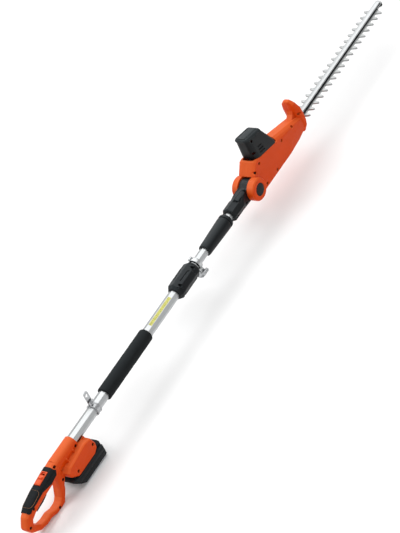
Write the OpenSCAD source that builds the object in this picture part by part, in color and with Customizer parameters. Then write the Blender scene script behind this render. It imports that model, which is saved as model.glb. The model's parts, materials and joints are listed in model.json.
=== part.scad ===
// Cordless pole hedge trimmer, lying at rest on its battery and on the bottom of its rear D handle.
// Shapes are drawn in the tool frame: x runs along the pole from the handle to the blade, and is 0 at
// the front mouth of the outer tube's coupling; z is up and is 0 on the pole axis; y is to the left.
// on_tool() moves that frame to the row frame: centred along x and standing on z = 0.

/* [Pole] */
// Outer tube size across its eight corners
tube_corner = 28; // [27:0.5:29]
// Wall thickness of both tubes
tube_wall = 1.5; // [1.2:0.1:1.6]
// Play between the tubes, per side
tube_play = 0.35; // [0.3:0.05:0.5]
// Rear end of the outer tube, inside the handle
outer_rear_x = -655; // [-657:1:-650]
// Foam grip, rear and front ends
foam_rear_x = -442; // [-446:1:-430]
foam_front_x = -244; // [-262:1:-240]
// Foam grip diameter
foam_d = 37.5; // [34:0.5:40]

/* [Handle] */
// Height of the pole axis above the surface that the tool lies on
axis_height = 88; // [88:1:88]
// Barrel radius round the outer tube
barrel_r = 17.5; // [17:0.5:18]
// Front end of the handle's barrel
barrel_front_x = -589; // [-592:1:-580]
// Shell wall thickness, on handle and head
wall = 2.6; // [2.2:0.1:2.8]

/* [Battery] */
// Battery pack length, width and height of its lower body
pack_len = 120; // [118:1:120]
pack_w = 72; // [71:1:72]
pack_low_h = 31.6; // [31:0.1:31.6]

/* [Head] */
// Tilt pivot station along the pole
pivot_x = 274; // [273:1:275]
// Radius of the two orange pivot ears
ear_r = 30; // [29:0.5:30]
// Widest half width of the head body
head_half_w = 25.5; // [25:0.5:26]
// Slot between the ears, half width
slot_half_w = 14.3; // [14.2:0.1:14.6]

/* [Blade] */
// Pitch of the blade teeth
tooth_pitch = 25; // [24:0.5:25]
// Number of teeth along one edge
tooth_count = 18; // [15:1:18]
// Blade half width at the tooth tips
tooth_reach = 28; // [24:1:30]
// Crank throw: half of each blade's stroke
crank_throw = 7; // [5:0.5:7]

/* [Hidden] */
$fn = 48;

orange = "#d1481a";
black = "#1c1f21";
steel = "#b9bcbe";
silver = "#d9dcde";

// Ends of the tool, which centre it along x
handle_rear_x = -822;
bar_tip_x = 1033;
row_shift_x = -(handle_rear_x + bar_tip_x) / 2;
far = 400;
run_fit = 0.05;

module on_tool() translate([row_shift_x, 0, axis_height]) children();
module at(x, y, z) translate([x, y, z]) children();
// Children drawn along z are turned to run along x or along y
module to_x() rotate([0, 90, 0]) children();
module to_y() rotate([-90, 0, 0]) children();
// A flat outline drawn in x and z, extruded over a range of y
module slab(y0, y1) translate([0, y1, 0]) rotate([90, 0, 0]) linear_extrude(y1 - y0) children();
module rod_y(x, z, r, y0, y1) at(x, y0, z) to_y() cylinder(r = r, h = y1 - y0);
module rod_x(x0, x1, r) at(x0, 0, 0) to_x() cylinder(r = r, h = x1 - x0);
module rod_z(x, y, r, z0, z1) at(x, y, z0) cylinder(r = r, h = z1 - z0);
module octagon_bar(x0, x1, corner) at(x0, 0, 0) to_x() cylinder(d = corner, h = x1 - x0, $fn = 8);
module box(x0, x1, y0, y1, z0, z1) at(x0, y0, z0) cube([x1 - x0, y1 - y0, z1 - z0]);
module half(side) intersection() {
  children();
  if (side > 0) box(-far * 3, far * 3, 0.02, far, -far, far);
  else box(-far * 3, far * 3, -far, -0.02, -far, far);
}

// ---------------------------------------------------------------- tubes
corner_per_flat = 1 / cos(22.5);
outer_bore = tube_corner - 2 * tube_wall * corner_per_flat;
inner_corner = outer_bore - 2 * tube_play * corner_per_flat;
inner_bore = inner_corner - 2 * tube_wall * corner_per_flat;
outer_front_x = -10;
inner_rear_x = -572;
inner_front_x = 92;
stub_rear_x = 96;
stub_front_x = 214;

module outer_tube() color(silver) on_tool() difference() {
  octagon_bar(outer_rear_x, outer_front_x, tube_corner);
  octagon_bar(outer_rear_x - 1, outer_front_x + 1, outer_bore);
  rod_y(handle_screw_places[0][0], handle_screw_places[0][1], screw_r + 0.1, -20, 20);
}

module inner_tube() color(silver) on_tool() difference() {
  octagon_bar(inner_rear_x, inner_front_x, inner_corner);
  octagon_bar(inner_rear_x - 1, inner_front_x + 1, inner_bore);
}

module stub_tube() color(silver) on_tool() difference() {
  octagon_bar(stub_rear_x, stub_front_x, inner_corner);
  octagon_bar(stub_rear_x - 1, stub_front_x + 1, inner_bore);
  rod_y(neck_screw_places[0][0], neck_screw_places[0][1], screw_r + 0.1, -20, 20);
}

// Plastic plug in the inner tube's rear end, with a hole for the lead
module inner_bush() color(black) on_tool() difference() {
  octagon_bar(inner_rear_x - 6, inner_rear_x + 20, inner_bore - 0.1);
  rod_x(inner_rear_x - 7, inner_rear_x + 21, 5);
}

// Bush at the front of the outer tube, between it and the coupling, that guides the inner tube
module tube_bush() color(black) on_tool() difference() {
  rod_x(outer_front_x + 0.2, 4, tube_corner / 2 + 0.8);
  octagon_bar(outer_front_x - 1, 5, inner_corner + 2 * run_fit + 0.5);
}

// Coiled lead inside the inner tube, drawn as the ring of its outer and inner diameters
module coil_lead() color(black) on_tool() difference() {
  rod_x(inner_rear_x + 22, inner_front_x - 12, 8.6);
  rod_x(inner_rear_x + 21, inner_front_x - 11, 4.6);
}

module foam_grip() color(black) on_tool() difference() {
  at(foam_rear_x, 0, 0) to_x() rotate_extrude() polygon([
    [2, 0], [foam_d / 2 - 1.6, 0], [foam_d / 2, 2], [foam_d / 2, foam_front_x - foam_rear_x - 2.4],
    [foam_d / 2 - 2, foam_front_x - foam_rear_x], [2, foam_front_x - foam_rear_x]
  ]);
  octagon_bar(foam_rear_x - 1, foam_front_x + 1, tube_corner + 0.02);
}

// Thin yellow strip on the upper left flat of the outer tube
module label_strip() color("#d8d84e") on_tool()
  rotate([67.5 - 45, 0, 0]) box(-225, -130, -4.3, 4.3, tube_corner / 2 * cos(22.5) + 0.01,
                               tube_corner / 2 * cos(22.5) + 0.16);

// ---------------------------------------------------------------- handle
// Knots of the D handle: x, z, then half sizes along x, y and z, then corner radius
grip_knots = [[-658, -1, 13, 16.8, 16.8, 12.5], [-700, -4.5, 12.5, 17, 16.5, 12.5], [-742, -8, 12, 16, 15.5, 12],
              [-780, -15, 11.5, 15, 14.5, 11.5], [-800, -25, 12, 14, 12.5, 11]];
rear_knots = [[-800, -25, 12, 14, 12.5, 11], [-810, -40, 12, 13.5, 9, 8], [-806, -53, 9.5, 12.5, 8, 7]];
lower_knots = [[-806, -53, 9.5, 12.5, 8, 7], [-785, -71.5, 7, 12, 6.5, 6.3], [-766, -75.8, 6.5, 12, 6.8, 6.4],
               [-748, -75, 6.5, 12, 6.6, 6.4], [-729, -82, 6.5, 12.5, 6, 5.8], [-712, -82, 7, 13, 6, 5.8]];
front_knots = [[-702, -80, 8.5, 13, 7.5, 6.5], [-693, -70, 7.4, 13, 4, 3.9], [-686.5, -60, 8.8, 13, 3.5, 3.4],
               [-682, -50, 8.6, 13, 4, 3.9], [-669, -27, 11, 13.5, 12, 6.5]];

// One rounded section of the D, shrunk by t for the hollow inside it
module knot(k, t, facets) {
  r = min(k[5], k[2] - t - 0.1, k[3] - t - 0.1, k[4] - t - 0.1);
  for (sx = [-1, 1], sy = [-1, 1], sz = [-1, 1])
    at(k[0] + sx * (k[2] - t - r), sy * (k[3] - t - r), k[1] + sz * (k[4] - t - r))
      sphere(r = r, $fn = facets);
}

module chain(knots, t, facets) for (i = [0:len(knots) - 2]) hull() {
  knot(knots[i], t, facets);
  knot(knots[i + 1], t, facets);
}

// Battery housing outline, and a smaller one for its rounded sides
housing_line = [[-555, -35], [-562, -13], [-584, -7], [-652, -15], [-664, -24], [-661, -38],
                [-640, -56], [-571, -56], [-557, -47]];
housing_half_w = 33;
housing_bottom_z = -56;

module housing(t) hull() {
  slab(-housing_half_w + t, housing_half_w - t) offset(delta = -t - 3) polygon(housing_line);
  slab(-housing_half_w + 3.2 + t, housing_half_w - 3.2 - t) offset(delta = -t)
    polygon(housing_line);
}

module handle_outer(t, facets) {
  rod_x(-666 + t, barrel_front_x, barrel_r - t);
  box(-652, -562 - t, -15 + t, 15 - t, -24, -8);
  // Two short ribs that bridge the groove between barrel and battery housing
  for (x = [-640, -612]) box(x + t, x + 3.4 - t, -20 + t, 20 - t, -16, -1);
  housing(t);
  chain(grip_knots, t, facets);
  chain(rear_knots, t, facets);
  chain(lower_knots, t, facets);
  chain(front_knots, t, facets);
  chain([lower_knots[5], front_knots[0]], t, facets);
}

// Places of the three battery contacts across the tool
contact_ys = [-9, 0, 9];
// Screws that join the two handle shells: x, z, and the depth |y| where each head sits
handle_screw_places = [[-597, -2.8, 15.2], [-674, 10, 11.5], [-671, -37, 10], [-780, -13, 11.5],
                       [-717, -82, 9], [-812.5, -41, 10], [-564, -31, 28], [-636, -42.9, 28]];
boss_r = 4.8;
screw_head_r = 3.1;
screw_r = 1.4;

bay_half_w = 27.4;
bay_lip = 2;
bay_top_z = -47.2;
trigger_slot_half_w = 8.4;

module handle_shell(side) color(orange) on_tool() half(side) difference() {
  union() {
    difference() {
      handle_outer(0, 16);
      handle_outer(wall, 12);
    }
    intersection() {
      handle_outer(1.3, 16);
      union() {
        for (p = handle_screw_places) rod_y(p[0], p[1], boss_r, -far, far);
        rod_x(-664, -590, barrel_r - 0.5);
        box(-638, -570, -31.5, 31.5, bay_top_z, bay_top_z + 2.2);
      }
    }
  }
  octagon_bar(outer_rear_x - 0.2, -540, tube_corner + 0.1);
  rod_x(-670, outer_rear_x, 8);
  wire(battery_lead, lead_r + 0.6);
  wire(tube_lead, lead_r + 0.6);
  // Bay that the battery's upper block slides into, open at the front and below, with a lip each side
  box(-654, -540, -bay_half_w, bay_half_w, bay_top_z - 5.8, bay_top_z);
  box(-654, -540, -bay_half_w + bay_lip, bay_half_w - bay_lip, -70, bay_top_z);
  for (y = contact_ys) box(-631, -599, y - 1.4, y + 1.4, -50, -40);
  // Slot for the trigger in the underside of the grip
  box(-779, -717, -trigger_slot_half_w, trigger_slot_half_w, -34, -15);
  // Window for the lock-off switch in the top of the grip
  box(-732, -693, -8.4, 8.4, 2, 30);
  for (p = handle_screw_places) {
    rod_y(p[0], p[1], screw_r + 0.1, -30, 30);
    rod_y(p[0], p[1], screw_head_r + 0.3, -far, -p[2]);
  }
  rod_y(-724, -14, 2.05, -12, 12);
}
module handle_shell_left() handle_shell(1);
module handle_shell_right() handle_shell(-1);

module handle_screws() color(steel) on_tool() for (p = handle_screw_places) {
  rod_y(p[0], p[1], screw_r, -p[2], 8);
  difference() {
    rod_y(p[0], p[1], screw_head_r, -p[2] - 2, -p[2]);
    for (a = [0, 90]) at(p[0], -p[2] - 1.5, p[1]) rotate([0, a, 0]) cube([3, 1.2, 0.7], center = true);
  }
}

// Soft black pads over the top of the grip, drawn as one skin that stands just proud
pad_line = [[-681, 40], [-681, 9], [-677, 5], [-683, -6], [-706, -10], [-738, -3.5], [-766, -8],
            [-784, -9], [-792, -13.5], [-798, -12], [-805, 40]];
pad_proud = 0.8;
module grip_pad(side) color(black) on_tool() half(side) difference() {
  intersection() {
    chain(grip_knots, -pad_proud, 16);
    slab(-30, 30) polygon(pad_line);
  }
  chain(grip_knots, -0.03, 16);
  chain(rear_knots, -0.03, 16);
  rod_x(-666.2, -600, barrel_r + 0.03);
  box(-732.2, -692.8, -8.6, 8.6, 2, 30);
  for (p = handle_screw_places) rod_y(p[0], p[1], screw_head_r + 0.6, -far, far);
}
module grip_pad_left() grip_pad(1);
module grip_pad_right() grip_pad(-1);

// Frame round the lock-off switch, sloping with the grip
bezel_tilt = -4.4;
module on_bezel() at(-712.5, 0, 11.2) rotate([0, bezel_tilt, 0]) children();
module switch_bezel() color(orange) on_tool() on_bezel() difference() {
  box(-18.6, 18.6, -8.3, 8.3, -5, 2.2);
  box(-16.4, 16.4, -6.2, 6.2, -1.2, 3);
  box(-14, 14, -4.6, 4.6, -6, 0);
}

// Thumb slide: a slab with a raised step, and a tongue that reaches inside the grip
module lock_off_switch() color("#e04a22") on_tool() on_bezel() {
  slab(-5.8, 5.8) polygon([[-15.8, -0.8], [-15.8, 2], [-4, 2], [-2.5, 5.6], [0.5, 6], [2.5, 3], [8, 2.2],
                           [8, -0.8]]);
  box(-10, 4, -4.2, 4.2, -6, -0.8);
}

// Long finger lever under the grip, pivoted at its front end
module trigger() color(black) on_tool() difference() {
  union() {
    slab(-7.9, 7.9) polygon([[-777, -24.5], [-772, -32.4], [-745, -30.6], [-729, -26.5], [-719.5, -19.5],
                             [-719.5, -11.5], [-727, -9.5], [-740, -16.4], [-775, -19.4]]);
    rod_y(-724, -14, 4.4, -7.9, 7.9);
  }
  rod_y(-724, -14, 2 + run_fit, -8, 8);
}
module trigger_pin() color(steel) on_tool() rod_y(-724, -14, 2, -11.9, 11.9);

// Return spring between the trigger and the switch, drawn as a stack of rings
module trigger_spring() color(steel) on_tool() for (i = [0:4])
  at(-752, 0, -16.6 + i * 1.5) rotate_extrude() translate([3, 0]) circle(r = 0.45, $fn = 16);

module main_switch() color("#303336") on_tool() {
  box(-763, -738, -7, 7, -9.5, -1);
  box(-746, -741, -2, 2, -11.5, -9.5);
}

module terminal_block() color("#26292b") on_tool() {
  box(-630, -600, -16, 16, -44.9, -37);
  for (y = contact_ys) box(-628, -603, y - 0.5, y + 0.5, -52, -44.9);
}

// Two leads: battery terminals to switch, switch to the tube
lead_r = 1.5;
battery_lead = [[-616, 1.7, -35.4], [-662, 1.7, -20], [-700, 1.7, -4], [-736.4, 1.7, -3]];
tube_lead = [[-736.4, -1.7, -3], [-700, -1.7, -4], [-676, -1.7, -3], [-640, 0, 0]];
module wire(points, r) for (i = [0:len(points) - 2]) hull() {
  translate(points[i]) sphere(r = r, $fn = 10);
  translate(points[i + 1]) sphere(r = r, $fn = 10);
}
module handle_wiring() color("#7a1515") on_tool() {
  wire(battery_lead, lead_r);
  wire(tube_lead, lead_r);
}

// ---------------------------------------------------------------- battery
pack_front_x = -541;
pack_rear_x = pack_front_x - pack_len;
pack_top_z = housing_bottom_z - 0.4;
pack_bottom_z = -axis_height;
// Where the flat underside ends and the slope up to the latch begins
pack_slope_x = -628;
block_half_w = bay_half_w - 0.4;
block_top_z = bay_top_z - 0.5;

module pack_side_line() polygon([
  [pack_front_x, pack_top_z], [pack_front_x, pack_bottom_z + 6], [pack_front_x - 4, pack_bottom_z],
  [pack_slope_x, pack_bottom_z], [pack_rear_x + 4, -64.5], [pack_rear_x, -60.5], [pack_rear_x, pack_top_z]
]);
// Room inside the pack, 2.4 mm inside its outline
module pack_hollow() slab(-33.2, 33.2) polygon([
  [pack_front_x - 2.6, pack_top_z - 2.4], [pack_front_x - 2.6, pack_bottom_z + 6], [pack_front_x - 5.6, pack_bottom_z + 2.2],
  [pack_slope_x + 0.8, pack_bottom_z + 2.2], [-652.5, -66.5], [-652.5, pack_top_z - 2.4]
]);
module pack_section() polygon([
  [-pack_w / 2, pack_top_z - 3], [-pack_w / 2 + 3, pack_top_z], [pack_w / 2 - 3, pack_top_z],
  [pack_w / 2, pack_top_z - 3], [pack_w / 2, pack_bottom_z + 6.5], [pack_w / 2 - 6.5, pack_bottom_z],
  [-pack_w / 2 + 6.5, pack_bottom_z], [-pack_w / 2, pack_bottom_z + 6.5]
]);
module pack_plan() polygon([
  [pack_front_x, -pack_w / 2 + 5], [pack_front_x - 4, -pack_w / 2], [pack_rear_x + 11, -pack_w / 2],
  [pack_rear_x, -pack_w / 2 + 11], [pack_rear_x, pack_w / 2 - 11], [pack_rear_x + 11, pack_w / 2],
  [pack_front_x - 4, pack_w / 2], [pack_front_x, pack_w / 2 - 5]
]);
module pack_body() intersection() {
  slab(-pack_w, pack_w) pack_side_line();
  at(pack_rear_x - 1, 0, 0) rotate([90, 0, 90]) linear_extrude(pack_len + 2) pack_section();
  at(0, 0, pack_bottom_z - 1) linear_extrude(pack_low_h + 10) pack_plan();
}
pack_split_z = -68;

module battery_base() color(black) on_tool() difference() {
  intersection() {
    pack_body();
    box(-far * 3, 0, -far, far, -far, pack_split_z - 0.05);
  }
  pack_hollow();
}

module battery_lid() color(black) on_tool() difference() {
  union() {
    intersection() {
      pack_body();
      box(-far * 3, 0, -far, far, pack_split_z + 0.05, 0);
    }
    // Sliding block with a flange each side, and the raised nose in front of the housing
    box(-652, pack_front_x - 8, -block_half_w + bay_lip, block_half_w - bay_lip, pack_top_z - 1, block_top_z);
    box(-652, pack_front_x - 8, -block_half_w, block_half_w, block_top_z - 4.9, block_top_z);
    slab(-block_half_w, block_half_w) polygon([
      [pack_front_x, pack_top_z - 1], [pack_front_x, -46], [pack_front_x - 5, -37], [-553.6, -36],
      [-553.6, pack_top_z - 1]
    ]);
  }
  pack_hollow();
  // Slots for the tool's three contact blades
  for (y = contact_ys) box(-653, -601, y - 1.2, y + 1.2, block_top_z - 5, block_top_z + 1);
  // Pocket for the latch in the rear face
  box(pack_rear_x - 1, -655.2, -12.4, 12.4, -66.4, -49);
}

// Five cells across the pack; the rear one sits higher, over the slope
cell_places = [[-634, -68.4], [-615.4, -76.4], [-596.4, -76.4], [-577.4, -76.4], [-558.4, -76.4]];
module battery_cells() color("#2f6f9f") on_tool() for (c = cell_places) rod_y(c[0], c[1], 9.2, -32.5, 32.5);

module battery_latch() color("#8d9193") on_tool() {
  slab(-12, 12) polygon([[-658, -63], [-660.8, -60.2], [-661, -57], [-656, -56.6], [-655.6, -63]]);
}

// ---------------------------------------------------------------- strap bracket
strap_x = -486;
strap_half_l = 8;
strap_hole_z = 43;
strap_hole_r = 4.5;
module strap_bracket() color(steel) on_tool() difference() {
  union() {
    rod_x(strap_x - strap_half_l, strap_x + strap_half_l, tube_corner / 2 + 2.1);
    for (s = [-1, 1]) rod_x(strap_x + s * 5.5 - 1.2, strap_x + s * 5.5 + 1.2, tube_corner / 2 + 2.9);
    // Tall ear with the strap hole, short ear beside it
    box(strap_x - 7.5, strap_x + 7.5, 1, 3.4, 10, 47.5);
    rod_y(strap_x, 47.5, 7.5, 1, 3.4);
    box(strap_x - 7.5, strap_x + 7.5, -3.4, -1, 10, 27);
  }
  octagon_bar(strap_x - 20, strap_x + 20, tube_corner + 0.04);
  box(strap_x - 20, strap_x + 20, -1, 1, 10, 60);
  rod_y(strap_x, strap_hole_z, strap_hole_r, -5, 5);
  rod_y(strap_x, 22.5, 2.1, -5, 5);
}
module strap_screw() color(steel) on_tool() {
  rod_y(strap_x, 22.5, 2, -8, 7);
  at(strap_x, -6.6, 22.5) to_y() cylinder(r = 4, h = 3.15, $fn = 48);
  at(strap_x, 3.45, 22.5) to_y() cylinder(r = 4.2, h = 3.2, $fn = 6);
}

// ---------------------------------------------------------------- coupling and clamp
coupling_rear_x = -109;
coupling_front_x = -14;
coupling_corner = 48;
coupling_screw_places = [[-30, 15.7], [-92, 15.7]];
module coupling_outer() {
  octagon_bar(coupling_rear_x + 9, coupling_front_x - 9, coupling_corner);
  at(coupling_rear_x, 0, 0) to_x() cylinder(d1 = coupling_corner - 12, d2 = coupling_corner, h = 9, $fn = 8);
  at(coupling_front_x - 9, 0, 0) to_x() cylinder(d1 = coupling_corner, d2 = coupling_corner - 12, h = 9, $fn = 8);
}
module coupling_shell(side) color(black) on_tool() half(side) difference() {
  union() {
    difference() {
      coupling_outer();
      rod_x(coupling_rear_x + 10, coupling_front_x - 10, coupling_corner / 2 - 5.2);
    }
    // Raised side panel, ribs that grip the tube, and screw bosses
    intersection() {
      rotate([side > 0 ? -67.5 : 67.5, 0, 0]) box(-88, -38, -8.5, 8.5, 10, coupling_corner / 2 * cos(22.5) + 1);
      octagon_bar(-88, -38, coupling_corner + 2.6);
    }
    for (x = [coupling_rear_x + 10, -62, coupling_front_x - 14])
      rod_x(x, x + 4, coupling_corner / 2 - 4);
    intersection() {
      coupling_outer();
      for (p = coupling_screw_places, s = [-1, 1]) rod_y(p[0], s * p[1], 4.2, -far, far);
    }
  }
  octagon_bar(coupling_rear_x - 1, coupling_front_x + 1, tube_corner + 0.1);
  for (p = coupling_screw_places, s = [-1, 1]) {
    rod_y(p[0], s * p[1], screw_r + 0.1, -15, 14);
    rod_y(p[0], s * p[1], screw_head_r + 0.3, -far, -9);
  }
}
module coupling_shell_left() coupling_shell(1);
module coupling_shell_right() coupling_shell(-1);
module coupling_screws() color(steel) on_tool() for (p = coupling_screw_places, s = [-1, 1]) {
  rod_y(p[0], s * p[1], screw_r, -9, 13);
  rod_y(p[0], s * p[1], screw_head_r, -11, -9);
}

// Quick-release clamp: a split band on the bush, two ears pointing down, a draw bolt and a cam lever.
// Its flat outlines are drawn in y and z, turned so that the ears point along +z, and extruded along x.
clamp_x0 = -8;
clamp_x1 = 3.6;
clamp_inner_r = tube_corner / 2 + 0.84;
clamp_outer_r = clamp_inner_r + 2.2;
ear_turn = 155;
ear_gap = 2;
ear_top = 32;
bolt_z = 28.5;
cam_y = 9.8;
bolt_x = (clamp_x0 + clamp_x1) / 2;
module on_ears() rotate([ear_turn, 0, 0]) children();
module plate_x(x0, x1) at(x0, 0, 0) rotate([90, 0, 90]) linear_extrude(x1 - x0) children();
module clamp_band() color(silver) on_tool() on_ears() difference() {
  plate_x(clamp_x0, clamp_x1) difference() {
    union() {
      circle(r = clamp_outer_r);
      translate([-ear_gap - 3, 12]) square([2 * ear_gap + 6, ear_top - 12]);
      // Closed knuckle opposite the ears
      translate([-2.2, -clamp_outer_r - 1.4]) circle(r = 3.6);
    }
    circle(r = clamp_inner_r);
    translate([-ear_gap, 5]) square([2 * ear_gap, 40]);
  }
  rod_y(bolt_x, bolt_z, 2.1, -8, 8);
}

// Draw bolt through both ears, with a round nut at one end and an eye round the lever's pin
module clamp_bolt() color(steel) on_tool() on_ears() difference() {
  union() {
    rod_y(bolt_x, bolt_z, 2, -9, cam_y - 2.8);
    rod_y(bolt_x, bolt_z, 4, -9.5, -5.1);
    at(bolt_x - 2.3, cam_y, bolt_z) to_x() cylinder(r = 4, h = 4.6);
  }
  at(bolt_x - 3, cam_y, bolt_z) to_x() cylinder(r = 2.02, h = 6);
}
module clamp_pin() color(steel) on_tool() on_ears() {
  at(bolt_x - 9, cam_y, bolt_z) to_x() cylinder(r = 2, h = 18);
  at(bolt_x - 10.4, cam_y, bolt_z) to_x() difference() {
    cylinder(r = 4.6, h = 1.8);
    translate([0, 0, -0.1]) cube([7, 1.1, 1.6], center = true);
  }
}
cheek_line = [[cam_y - 2, bolt_z + 4], [cam_y + 4.2, bolt_z - 1], [11.5, 33.5], [-4, 38.4], [-8, 37.5]];
tail_line = [[-2, 38], [-3.5, 35.4], [-11.5, 34.4], [-18, 31.5], [-23.5, 26], [-26, 18.5], [-28.4, 19],
             [-26, 27.5], [-19.5, 34], [-11.5, 37.3]];
module clamp_lever() color(silver) on_tool() on_ears() difference() {
  union() {
    for (x = [bolt_x - 8.2, bolt_x + 2.6]) plate_x(x, x + 5.6) union() {
      translate([cam_y, bolt_z]) circle(r = 4.4);
      polygon(cheek_line);
    }
    plate_x(bolt_x - 8.2, bolt_x + 8.2) polygon(tail_line);
  }
  at(bolt_x - 12, cam_y, bolt_z) to_x() cylinder(r = 2 + run_fit, h = 30);
}

// ---------------------------------------------------------------- union, collar and neck
collar_rear_x = 44;
collar_front_x = 157;
socket_r = 15.4;
module union_socket() color(steel) on_tool() difference() {
  rod_x(52, 152, socket_r);
  octagon_bar(51, 153, inner_corner + 0.06);
}
module lock_collar() color(black) on_tool() at(collar_rear_x, 0, 0) to_x() rotate_extrude() polygon([
  [socket_r + run_fit, 7.7], [inner_corner / 2 + 0.6, 7.7], [inner_corner / 2 + 0.6, 0], [16.2, 0], [17, 1.6],
  [20, 96], [20, 101], [19, 101.5], [19, 103], [20, 103.5], [20, 109], [18.2, 113],
  [inner_corner / 2 + 0.6, 113], [inner_corner / 2 + 0.6, 108.3], [socket_r + run_fit, 108.3]
]);

neck_rear_x = 170;
neck_wide_x = 212;
neck_tongue_x = 242;
neck_corner = 42;
tongue_half_w = 13.7;
knuckle_r = 25.5;
neck_screw_places = [[181, -9, 12], [230, -8.6, 11]];
module neck_outer() {
  octagon_bar(neck_rear_x + 3, neck_wide_x, neck_corner);
  at(neck_rear_x, 0, 0) to_x() cylinder(d1 = neck_corner - 6, d2 = neck_corner, h = 3, $fn = 8);
  hull() {
    octagon_bar(neck_wide_x - 1, neck_wide_x, neck_corner);
    box(neck_tongue_x - 1, neck_tongue_x, -tongue_half_w, tongue_half_w, -18, 18);
    box(neck_tongue_x - 1, neck_tongue_x, -6, 6, -20.5, 20.5);
  }
  box(neck_tongue_x - 2, pivot_x, -tongue_half_w, tongue_half_w, -18, 18);
  rod_y(pivot_x, 0, knuckle_r, -tongue_half_w, tongue_half_w);
}
module neck_shell(side) color(black) on_tool() half(side) difference() {
  neck_outer();
  octagon_bar(neck_rear_x - 1, stub_front_x + 0.4, inner_corner + 0.06);
  rod_x(stub_front_x, 236, 7);
  rod_y(pivot_x, 0, 8 + run_fit, -20, 20);
  for (p = neck_screw_places) {
    rod_y(p[0], p[1], screw_r + 0.1, -14, 12);
    rod_y(p[0], p[1], screw_head_r + 0.3, -far, -p[2]);
  }
  // Track that the tilt release slides in
  rotate([22.5, 0, 0]) box(201, 249, -5.4, 5.4, 16.4, 30);
  rotate([22.5, 0, 0]) box(207.6, 228, -2.6, 2.6, 11.6, 20);
}
module neck_shell_left() neck_shell(1);
module neck_shell_right() neck_shell(-1);
module neck_screws() color(steel) on_tool() for (p = neck_screw_places) {
  rod_y(p[0], p[1], screw_r, -p[2], 9);
  rod_y(p[0], p[1], screw_head_r, -p[2] - 2, -p[2]);
}
// Thumb slide that frees the tilt pivot
module tilt_release() color(black) on_tool() rotate([22.5, 0, 0]) {
  slab(-5, 5) polygon([[209.5, 16.8], [208.6, 18.6], [211, 20.3], [224, 20.6], [243, 19.2], [243, 16.8]]);
  box(214.5, 226, -2.2, 2.2, 12, 16.8);
}

// ---------------------------------------------------------------- head
ear_right_y = 36;
ear_left_y = 33;
body_mid = [[276, -30], [500, -31], [536, -25], [547, -8], [545, 14], [520, 20], [436, 43], [408, 52], [314, 65],
            [305, 60], [283, 30], [276, 12]];
body_side = [[280, -27.5], [440, -28.5], [462, -6], [432, 30], [402, 41], [318, 56], [309, 55.5], [288, 31],
             [280, 12]];
body_front = [[278, -29], [500, -29.5], [532, -22], [542, -6], [540, 9], [518, 14], [434, 38], [404, 48],
              [314, 62], [306, 59]];
module head_body(t) hull() {
  slab(-12.5 + t, 12.5 - t) offset(delta = -t) polygon(body_mid);
  slab(-20 + t, 20 - t) offset(delta = -t) polygon(body_front);
  slab(-head_half_w + t, head_half_w - t) offset(delta = -t) polygon(body_side);
}
// Hand guard: a rounded shield that leans back at its top
guard_balls = [[531, 4.5, 66.5, 7], [533, 12, 57, 8], [538, 18, 39, 8], [541, 18.5, 20, 7.6], [542, 18, 0, 7.4], [540, 17, -14, 7.2],
               [536, 11, -27.5, 7]];
module guard(t) hull() for (b = guard_balls, s = [-1, 1])
  at(b[0], s * b[1], b[2]) sphere(r = b[3] - t, $fn = 24);
// The body widens into the guard
module guard_flare(t) hull() {
  for (s = [-1, 1]) {
    at(488, s * 10, 12) sphere(r = 5 - t, $fn = 20);
    at(488, s * 10, -22) sphere(r = 5 - t, $fn = 20);
    at(536, s * 15.5, 20) sphere(r = 5.5 - t, $fn = 20);
    at(537, s * 16, -14) sphere(r = 5.5 - t, $fn = 20);
  }
}
// Fillet between the body's top and the guard
module guard_fillet() slab(-9, 9)
  polygon([[500, 18], [512, 24.5], [521, 32], [527, 44], [530, 56], [538, 50], [540, 5], [500, 5]]);

module ear(y0, y1) {
  flat = min(abs(y0), abs(y1)) == abs(y0) ? 1 : -1;
  rod_y(pivot_x, 0, ear_r, y0 + (flat > 0 ? 0 : 3.5), y1 - (flat > 0 ? 3.5 : 0));
  if (flat > 0) at(pivot_x, y1 - 3.5, 0) to_y() cylinder(r1 = ear_r, r2 = ear_r - 3.5, h = 3.5);
  else at(pivot_x, y0, 0) to_y() cylinder(r1 = ear_r - 3.5, r2 = ear_r, h = 3.5);
}

// The cover's own frame sits on the head's sloping top
cover_tilt = 11.8;
module on_cover() at(362, 0, 50) rotate([0, cover_tilt, 0]) children();

crank_x = 369.6;
motor_x = crank_x - 21.6;
head_screw_places = [[294, 36, 21], [320, 45, 21], [372, -22, 20], [318, -20, 20], [428, 27, 17], [488, 21, 14],
                     [533, 28, 12]];
blade_slot_half_w = 12.6;

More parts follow.
